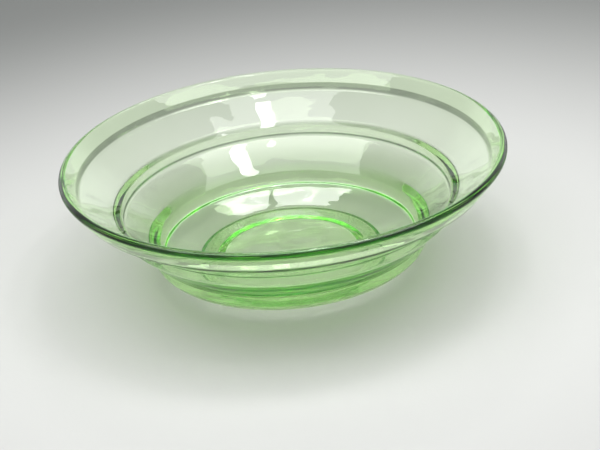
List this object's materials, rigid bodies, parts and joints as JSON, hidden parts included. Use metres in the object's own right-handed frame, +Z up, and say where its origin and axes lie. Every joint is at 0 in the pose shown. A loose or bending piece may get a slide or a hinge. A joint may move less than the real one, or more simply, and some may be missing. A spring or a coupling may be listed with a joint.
{
  "type": "glass bowl",
  "caption": "Wide, shallow, stepped serving bowl pressed in one piece of pale green uranium glass, with a flared rounded rim and a low foot ring.",
  "frame": {"origin": "on the bowl's axis, in the plane that the foot ring stands on", "axes": "+Z up along the bowl's axis, from the foot to the rim; X and Y are alike, because the bowl is round"},
  "size_m": [0.25, 0.25, 0.0702],
  "materials": {
    "uranium_glass": "gloss"
  },
  "bodies": {
    "root": {"bowl": "uranium_glass"}
  },
  "joints": []
}
